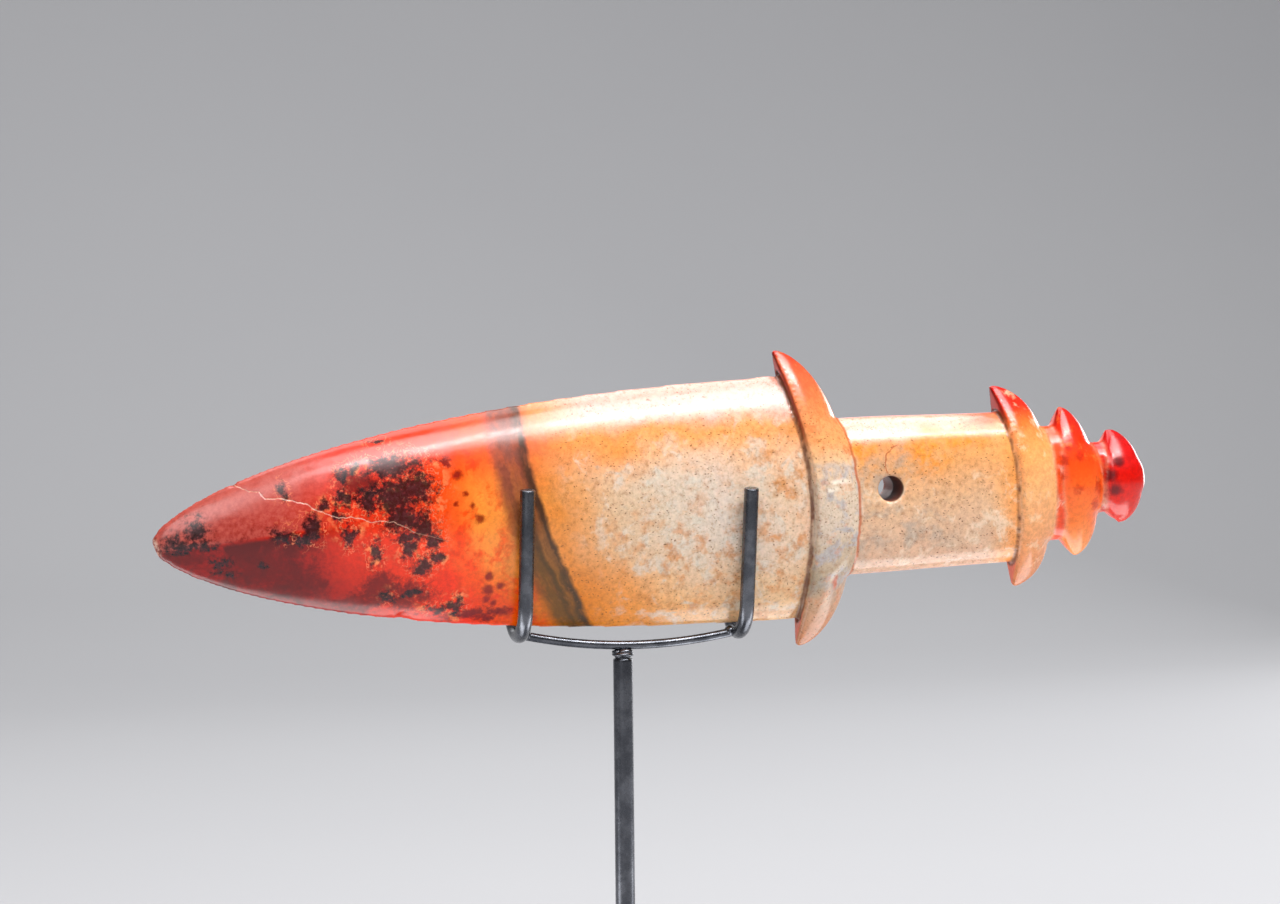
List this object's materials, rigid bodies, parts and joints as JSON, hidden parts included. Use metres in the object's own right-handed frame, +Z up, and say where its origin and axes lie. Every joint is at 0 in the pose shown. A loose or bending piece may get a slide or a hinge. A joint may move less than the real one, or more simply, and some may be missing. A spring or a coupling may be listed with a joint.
{
  "type": "jade blade on stand",
  "caption": "Carved leaf-shaped jade blade with crescent guard, oval grip and stepped crescent pommel, resting in a two-hook steel cradle on a post and foot plate.",
  "frame": {"origin": "centre of the foot plate's underside, on the post's axis", "axes": "+X towards the blade's carved end, -Y towards the face that is shown, +Z up"},
  "size_m": [0.2497, 0.085, 0.1792],
  "materials": {
    "jade": "polished",
    "steel": "satin"
  },
  "bodies": {
    "root": {"jade_blade": "jade", "left_hook": "steel", "right_hook": "steel", "cross_bar": "steel", "post": "steel", "foot_plate": "steel"}
  },
  "joints": []
}
